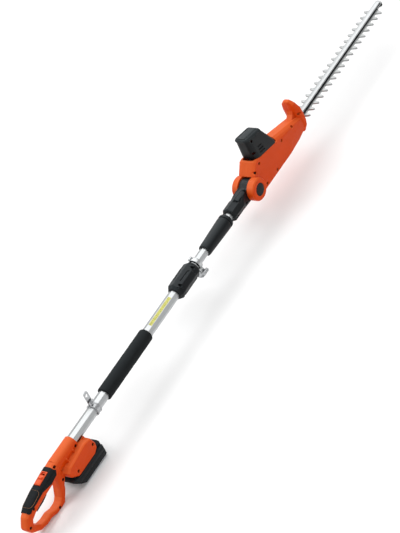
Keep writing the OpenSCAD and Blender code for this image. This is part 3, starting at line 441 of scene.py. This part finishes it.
def relax(mesh, weight, rounds, shrink=0.5, grow=-0.52):
    """Taubin smoothing: each round pulls points to their neighbours' mean, then pushes them back a little."""
    co = points_of(mesh)
    ends = np.empty(len(mesh.edges) * 2, np.int32)
    mesh.edges.foreach_get("vertices", ends)
    a, b = ends[0::2], ends[1::2]
    n = len(co)
    degree = np.bincount(a, minlength=n) + np.bincount(b, minlength=n)
    degree = np.maximum(degree, 1)
    for step in range(rounds * 2):
        pull = shrink if step % 2 == 0 else grow
        for axis in range(3):
            v = co[:, axis]
            total = np.bincount(a, v[b], minlength=n) + np.bincount(b, v[a], minlength=n)
            v += weight * pull * (total / degree - v)
    mesh.vertices.foreach_set("co", co.astype(np.float32).ravel())
    mesh.update()


def ramp(distance, near, far):
    """0 up to near, 1 from far on, and smooth between."""
    t = np.clip((distance - near) / (far - near), 0.0, 1.0)
    return t * t * (3 - 2 * t)


def off_hole(p, x, z, radius, side=0):
    """Weight that is 0 round a hole along y and 1 away from it. side -1 or 1 limits it to that side."""
    w = ramp(np.hypot(p[:, 0] - x, p[:, 2] - z), radius + 1.2, radius + 3.0)
    if side:
        w = np.where(p[:, 1] * side > 0, w, 1.0)
    return w


def off_box(p, low, high, margin=1.5):
    """Weight that is 0 in and near a box and 1 away from it."""
    gap = np.maximum(np.array(low) - p, p - np.array(high))
    return ramp(np.linalg.norm(np.maximum(gap, 0.0), axis=1), margin, margin + 2.5)


def path_gap(p, path):
    """Distance of each point from a path of straight runs."""
    best = np.full(len(p), 1e9)
    for a, b in zip(path[:-1], path[1:]):
        a, b = np.array(a, float), np.array(b, float)
        run = b - a
        t = np.clip((p - a) @ run / max(run @ run, 1e-9), 0.0, 1.0)
        best = np.minimum(best, np.linalg.norm(p - a - t[:, None] * run, axis=1))
    return best


def press(mesh, amount_of):
    """Pushes each point inwards along its normal by amount_of(points) millimetres."""
    co = points_of(mesh)
    normals = np.empty(len(co) * 3, np.float32)
    mesh.vertices.foreach_get("normal", normals)
    amount = amount_of(tool_array(co))
    co -= normals.reshape(-1, 3) * amount[:, None] * MM
    mesh.vertices.foreach_set("co", co.astype(np.float32).ravel())
    mesh.update()


def grooves(p, paths, width, depth):
    """How deep each point lies in grooves along these paths."""
    total = np.zeros(len(p))
    for path in paths:
        total = np.maximum(total, depth * (1 - ramp(path_gap(p, path), width * 0.28, width * 0.62)))
    return total


def mirrored(path):
    return [(x, -y, z) for x, y, z in path]


def halved(obj, name, side, gap=0.1):
    """The part of a closed mesh on one side of the parting plane, cut clean and capped."""
    bm = bmesh.new()
    bm.from_mesh(obj.data)
    geometry = bm.verts[:] + bm.edges[:] + bm.faces[:]
    cut = bmesh.ops.bisect_plane(bm, geom=geometry, dist=1e-7, plane_co=(0, side * gap * MM, 0),
                                 plane_no=(0, -side, 0), clear_outer=True)
    rim = [e for e in cut["geom_cut"] if isinstance(e, bmesh.types.BMEdge)]
    bmesh.ops.triangle_fill(bm, edges=rim, use_beauty=True, use_dissolve=False)
    bmesh.ops.recalc_face_normals(bm, faces=bm.faces)
    mesh = bpy.data.meshes.new(name)
    bm.to_mesh(mesh)
    bm.free()
    return new_object(name, mesh)


def smooth_pair(base, weight_of, rounds, voxel=0.8, triangles=60000, amount_of=None, grow=-0.52):
    """Two shell halves remade as one smooth body and cut again along their parting plane."""
    nodes = [base + "_left", base + "_right"]
    whole = merged(base + "_whole", nodes)
    applied(whole, "REMESH", mode="VOXEL", voxel_size=voxel * MM, use_smooth_shade=True)
    relax(whole.data, weight_of(tool_array(points_of(whole.data))), rounds, grow=grow)
    if amount_of is not None:
        press(whole.data, amount_of)
    for node, side in zip(nodes, (1, -1)):
        half = halved(whole, node + "_skin", side)
        share = triangles / max(1, len(half.data.polygons) * 2)
        if share < 1:
            applied(half, "DECIMATE", ratio=share)
        dress(half, node, 50)
        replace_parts(half, node)
    bpy.data.objects.remove(whole)


def remade(node, rounds, voxel, weight_of=None, amount_of=None, triangles=30000):
    """One CAD node remade as a smooth body of its own."""
    obj = merged(node + "_skin", [node])
    applied(obj, "REMESH", mode="VOXEL", voxel_size=voxel * MM, use_smooth_shade=True)
    p = tool_array(points_of(obj.data))
    relax(obj.data, np.ones(len(p)) if weight_of is None else weight_of(p), rounds)
    if amount_of is not None:
        press(obj.data, amount_of)
    share = triangles / max(1, len(obj.data.polygons) * 2)
    if share < 1:
        applied(obj, "DECIMATE", ratio=share)
    dress(obj, node, 50)
    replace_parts(obj, node)
    return obj


def softened(node, width, angle=28, segments=2, weld=1e-6):
    """A copy of a CAD node with its sharp edges rounded."""
    bm = bmesh.new()
    bm.from_mesh(frame["nodes"][node].data)
    bmesh.ops.remove_doubles(bm, verts=bm.verts, dist=weld)
    bmesh.ops.dissolve_limit(bm, angle_limit=math.radians(0.6), verts=bm.verts, edges=bm.edges)
    sharp = [e for e in bm.edges if len(e.link_faces) == 2 and e.calc_face_angle(0) > math.radians(angle)]
    bmesh.ops.bevel(bm, geom=sharp, offset=width * MM, segments=segments, profile=0.5, affect="EDGES",
                    clamp_overlap=True)
    bmesh.ops.triangulate(bm, faces=[f for f in bm.faces if len(f.verts) > 4])
    mesh = bpy.data.meshes.new(node + "_skin")
    bm.to_mesh(mesh)
    bm.free()
    obj = dress(new_object(node + "_skin", mesh), node, 30)
    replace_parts(obj, node)
    return obj


def join_rings(bm, rings):
    """Faces between each ring of points and the next, and from the last back to the first."""
    count = len(rings[0])
    for a, b in zip(rings, rings[1:] + rings[:1]):
        for j in range(count):
            k = (j + 1) % count
            bm.faces.new((a[j], a[k], b[k], b[j]))


def closed_mesh(bm, name):
    """Ends a bmesh: its faces turned outwards, as a mesh of this name."""
    bmesh.ops.recalc_face_normals(bm, faces=bm.faces)
    mesh = bpy.data.meshes.new(name)
    bm.to_mesh(mesh)
    bm.free()
    return mesh


def lathe(name, profile, segments=96):
    """A ring-shaped solid round the pole axis from a closed outline of (x, radius) points."""
    bm = bmesh.new()
    rings = []
    for i in range(segments):
        turn = 2 * math.pi * i / segments
        rings.append([bm.verts.new(tool(x, r * math.cos(turn), r * math.sin(turn))) for x, r in profile])
    join_rings(bm, rings)
    return new_object(name, closed_mesh(bm, name))


# ---------------------------------------------------------------- pieces

# Screws are (x, z), and go in from the right. Seats are (low corner, high corner, margin) of places where
# another piece sits or moves, which keep the CAD's exact shape.
HANDLE_SCREWS = [(-597, -2.8), (-674, 10), (-671, -37), (-780, -13), (-717, -82), (-812.5, -41), (-564, -31),
                 (-636, -42.9)]
BATTERY_RAILS = ((-656, -28, -60), (-540, 28, -46), 1.0)
TRIGGER_SLOT = ((-780, -9, -32), (-716, 9, -15), 0.8)
SWITCH_SEAT = ((-733, -9, 2), (-692, 9, 30), 0.8)
TUBE_SEAT = ((-582, -18, -18), (-560, 18, 18), 0.5)
HEAD_SCREWS = [(294, 36), (320, 45), (372, -22), (318, -20), (428, 27), (488, 21), (533, 28)]
FORK_GAP = ((230, -15, -40), (309, 15, -20), 0.8)
COVER_SEAT = ((302, -26, 44), (416, 26, 80), 0.5)
BLADE_MOUTH = ((500, -13, -10.5), (560, 13, 10.5), 0.8)
NECK_SCREWS = [(181, -9), (230, -8.6)]
RELEASE_SEAT = ((200, -12, 8), (250, 8, 30), 1.5)


def off_screws(p, screws, radius):
    """Weight that is 0 round these screws on the right side and 1 away from them."""
    w = np.ones(len(p))
    for x, z in screws:
        w *= off_hole(p, x, z, radius, -1)
    return w


def handle_weight(p):
    """Smoothing weight of the handle: none at its seats, and little on the battery housing's crisp edges."""
    w = off_screws(p, HANDLE_SCREWS, 3.5)
    for seat in (BATTERY_RAILS, TRIGGER_SLOT, SWITCH_SEAT, TUBE_SEAT):
        w *= off_box(p, *seat)
    housing = (p[:, 0] > -662) & ((p[:, 2] < -20) | (np.abs(p[:, 1]) > 18))
    return np.where(housing, w * 0.25, w)


def countersinks(p, places, side=-1):
    """A shallow dish round each screw, on the side that it goes in from."""
    depth = np.zeros(len(p))
    for x, z in places:
        depth = np.maximum(depth, 1.1 * (1 - ramp(np.hypot(p[:, 0] - x, p[:, 2] - z), 3.2, 5.0)))
    return np.where(p[:, 1] * side > 4, depth, 0.0)


def make_handle():
    smooth_pair("handle_shell", handle_weight, 40, 0.7, 80000, lambda p: countersinks(p, HANDLE_SCREWS))


def head_weight(p):
    """Smoothing weight of the head: none at its seats and round the pivot, half on its lower rear."""
    w = off_screws(p, HEAD_SCREWS, 3.5)
    w *= ramp(np.hypot(p[:, 0] - PIVOT_X, p[:, 2]), 31.5, 36)
    for seat in (FORK_GAP, COVER_SEAT, BLADE_MOUTH):
        w *= off_box(p, *seat)
    return np.where((p[:, 0] < 500) & (p[:, 2] < 8), w * 0.5, w)


def make_head():
    smooth_pair("head_shell", head_weight, 60, 0.7, 80000, lambda p: countersinks(p, HEAD_SCREWS))


COUPLING_SCREWS = [(-30, 15.7), (-92, 15.7)]
COUPLING_LINES = [[(-80, -10.2, 20), (-46, -10.8, 19.7), (-41.5, -15.5, 15.8), (-37, -20.8, 8)],
                  [(-102, -13, 18.4), (-96.5, -20.5, 9), (-92, -22, 0), (-96.5, -20.5, -9)],
                  [(-21.5, 0, 21.6), (-21.5, -9, 20), (-21.5, -20, 9), (-21.5, -21.6, 0), (-21.5, -20, -9)]]


def coupling_weight(p):
    """Smoothing weight of the coupling: none on its bore and round its screws."""
    w = ramp(np.hypot(p[:, 1], p[:, 2]), 15.4, 17.5)
    for x, z in COUPLING_SCREWS:
        w = w * off_hole(p, x, z, 3.2, -1) * off_hole(p, x, -z, 3.2, -1)
    return w


def coupling_lines(p):
    paths = COUPLING_LINES + [mirrored(path) for path in COUPLING_LINES]
    return np.maximum(grooves(p, paths, 2.8, 1.7), 0.7 * countersinks(p, COUPLING_SCREWS))


def neck_weight(p):
    """Smoothing weight of the neck: none on its bore, round the pivot, its screws and the release slide."""
    w = ramp(np.hypot(p[:, 1], p[:, 2]), 12.8, 14.0)
    w = np.where(p[:, 0] > 240, 1.0, w) * ramp(np.hypot(p[:, 0] - PIVOT_X, p[:, 2]), 10, 12)
    return w * off_box(p, *RELEASE_SEAT) * off_screws(p, NECK_SCREWS, 3.2)


def neck_recess(p):
    """A hollow beside the ridge on each upper flank, and the dishes round the two screws."""
    x, y, z = p[:, 0], np.abs(p[:, 1]), p[:, 2]
    along = ramp(x, 205, 212) * (1 - ramp(x, 252, 258))
    edge = 9.0 + (255 - x) * 0.19
    across = ramp(y, 6.5, 8.5) * (1 - ramp(y, edge - 1.2, edge))
    return np.maximum(1.3 * along * across * ramp(z, 2, 5), countersinks(p, NECK_SCREWS))


# The motor cover's own frame sits on the head's sloping top.
COVER_X, COVER_Z = 362.0, 50.0
COVER_COS, COVER_SIN = math.cos(math.radians(11.8)), math.sin(math.radians(11.8))
COVER_SCREWS = [(-41.5, 50.8), (-44, 17.2)]
COVER_VENTS = ((-28, -40, 7.5), (-2, 40, 29), 0.6)


def on_cover(p):
    """Tool points in the motor cover's own frame."""
    x, z = p[:, 0] - COVER_X, p[:, 2] - COVER_Z
    return np.stack([x * COVER_COS - z * COVER_SIN, p[:, 1], x * COVER_SIN + z * COVER_COS], axis=1)


def from_cover(x, y, z):
    """A point of the motor cover's own frame, as row metres."""
    return tool(COVER_X + x * COVER_COS + z * COVER_SIN, y, COVER_Z - x * COVER_SIN + z * COVER_COS)


def cap_lines(p):
    """The rim round the cap's raised top plate."""
    q = on_cover(p)
    ring = [(-58.5, -12, 63.5), (0.5, -12, 63.5), (0.5, 12, 63.5), (-58.5, 12, 63.5), (-58.5, -12, 63.5)]
    seam = 0.8 * (1 - ramp(np.abs(q[:, 2] - 57.4), 0.3, 1.1)) * ramp(np.abs(q[:, 1]), 8.0, 12.0)
    return np.maximum(grooves(q, [ring], 3.0, 1.4), seam)


def cover_weight(p):
    """Smoothing weight of the motor cover: none at its vents, screws and foot."""
    q = on_cover(p)
    return off_box(q, *COVER_VENTS) * off_screws(q, COVER_SCREWS, 3.2) * ramp(q[:, 2], 1.0, 2.5)


def make_black_shells():
    smooth_pair("coupling_shell", coupling_weight, 26, 0.6, 60000, coupling_lines, 0.0)
    smooth_pair("neck_shell", neck_weight, 16, 0.5, 50000, neck_recess)
    smooth_pair("motor_cover", cover_weight, 14, 0.6, 50000,
                lambda p: countersinks(on_cover(p), COVER_SCREWS))
    remade("motor_cap", 8, 0.5, amount_of=cap_lines)


def make_vent_shade_plates():
    """A dark plate behind the vent slots on each side of the motor cover: painted shade that makes the slots
    look dark inside.
    """
    rear_x, front_x, thick = -30, 0, 0.8
    faces = [(0, 1, 3, 2), (4, 6, 7, 5), (0, 4, 5, 1), (2, 3, 7, 6), (0, 2, 6, 4), (1, 5, 7, 3)]
    for side, name in [(1, "vent_shade_plate_left"), (-1, "vent_shade_plate_right")]:
        corners = [from_cover(x, side * y, z) for z, inner in [(7.5, 21.2), (29.5, 19.4)]
                   for x in (rear_x, front_x) for y in (inner, inner + thick)]
        mesh = bpy.data.meshes.new(name)
        mesh.from_pydata(corners, [], faces)
        screen = new_object(name, mesh)
        # Dark material for the painted shade inside the vents.
        screen.data.materials.append(SLOT_MATERIALS["rubber_pad"])
        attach(screen, "head")


def make_spring():
    """The trigger spring, which shortens upwards, towards the switch, as the trigger is pulled."""
    spring = dress(merged("trigger_spring_skin", ["trigger_spring"]), "trigger_spring", 40)
    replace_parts(spring, "trigger_spring")
    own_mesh(spring)


def make_collar():
    """The lock collar turned on the pole axis, with the groove behind its front ring."""
    rear, front, bore, lip, full = 44, 157, 15.5, 12.1, 20
    groove = [(143.8, full), (144.6, 19.4), (145, 17.9), (147.2, 17.9), (147.6, 19.4), (148.4, full)]
    outside = [(rear, 16.2), (45.2, 16.8), (60, 17.4), (100, 18.75), (140, full)] + groove
    outside += [(152.6, full), (155, 19.5), (front, 18.2)]
    inside = [(front, lip), (152.3, lip), (152.3, bore), (51.7, bore), (51.7, lip), (rear, lip)]
    ring = lathe("lock_collar_skin", outside + inside)
    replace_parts(dress(ring, "lock_collar", 40), "lock_collar")


# Right half of the outline on the rear of the grip pad, as x and degrees round the grip from its top, and the
# height of the grip's middle along it.
PAD_OUTLINE = [(-744, 4), (-744, 15), (-744, 30), (-745, 42), (-748, 50), (-753, 53), (-760, 53), (-767, 53),
               (-774, 52), (-779, 50), (-783, 45), (-786, 36), (-787.5, 26), (-788, 13), (-788, 4)]
GRIP_MIDDLE_X, GRIP_MIDDLE_Z = [-800, -780, -742, -700], [-25, -15, -8, -4.5]
OUTLINE_R, OUTLINE_SIDES = 0.42, 6


def on_pad(path):
    """Where each (x, degrees) of a path meets the grip pad from outside, with the pad's normal there."""
    pads = merged("pads", ["grip_pad_left", "grip_pad_right"])
    corners = [v.co for v in pads.data.vertices]
    tree = BVHTree.FromPolygons(corners, [f.vertices[:] for f in pads.data.polygons])
    bpy.data.objects.remove(pads)
    spots = []
    for x, angle in path:
        middle = tool(x, 0, np.interp(x, GRIP_MIDDLE_X, GRIP_MIDDLE_Z))
        out = Vector((0, -math.sin(math.radians(angle)), math.cos(math.radians(angle))))
        spots.append(tree.ray_cast(middle + out * 40 * MM, -out)[:2])
    return spots


def make_pad_line():
    """A thin raised outline on the rear of the grip pad, laid on the pad's own surface."""
    spots = on_pad(PAD_OUTLINE + [(x, -angle) for x, angle in reversed(PAD_OUTLINE)])
    bm = bmesh.new()
    rings = []
    for i, (spot, normal) in enumerate(spots):
        along = (spots[(i + 1) % len(spots)][0] - spots[i - 1][0]).normalized()
        side = along.cross(normal).normalized() * OUTLINE_R * MM
        up = side.cross(along)
        turns = [2 * math.pi * j / OUTLINE_SIDES for j in range(OUTLINE_SIDES)]
        rings.append([bm.verts.new(spot + side * math.cos(t) + up * math.sin(t)) for t in turns])
    join_rings(bm, rings)
    line = new_object("pad_outline", closed_mesh(bm, "pad_outline"))
    line.data.materials.append(OUTLINE)
    line.data.shade_smooth()
    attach(line, "handle")


def foam_skin(p):
    """Slight unevenness of a pushed-on foam sleeve, and its softer ends."""
    x, turn = p[:, 0], np.arctan2(p[:, 2], p[:, 1])
    wave = np.sin(x * 0.11 + 2 * turn) * np.sin(x * 0.043 - turn) + 0.5 * np.sin(x * 0.31 + turn)
    outer = ramp(np.hypot(p[:, 1], p[:, 2]), 16.4, 17.6)
    return outer * (0.25 + 0.16 * wave)


def foam_weight(p):
    """Weight that leaves the sleeve's bore alone."""
    return ramp(np.hypot(p[:, 1], p[:, 2]), 14.6, 16.0)


def make_foam():
    grip = remade("foam_grip", 6, 1.0, foam_weight, foam_skin, 40000)


# How far the sharp edges of the plainer pieces are rounded, in millimetres
EDGE_WIDTHS = {"battery_lid": 0.9, "battery_base": 0.9, "pivot_caps": 0.5, "lock_off_switch": 0.5,
               "switch_bezel": 0.4, "trigger": 0.8, "strap_bracket": 0.35, "clamp_lever": 0.5,
               "clamp_band": 0.35, "tilt_release": 0.5, "blade_bar": 0.35}

make_camera()
make_floor()
make_lights()
make_handle()
make_head()
make_black_shells()
make_foam()
make_pad_line()
make_vent_shade_plates()
make_collar()
make_spring()
for node, width in EDGE_WIDTHS.items():
    softened(node, width)

for node, obj in frame["nodes"].items():
    obj.data.materials.clear()
    obj.data.materials.append(material_of(node))
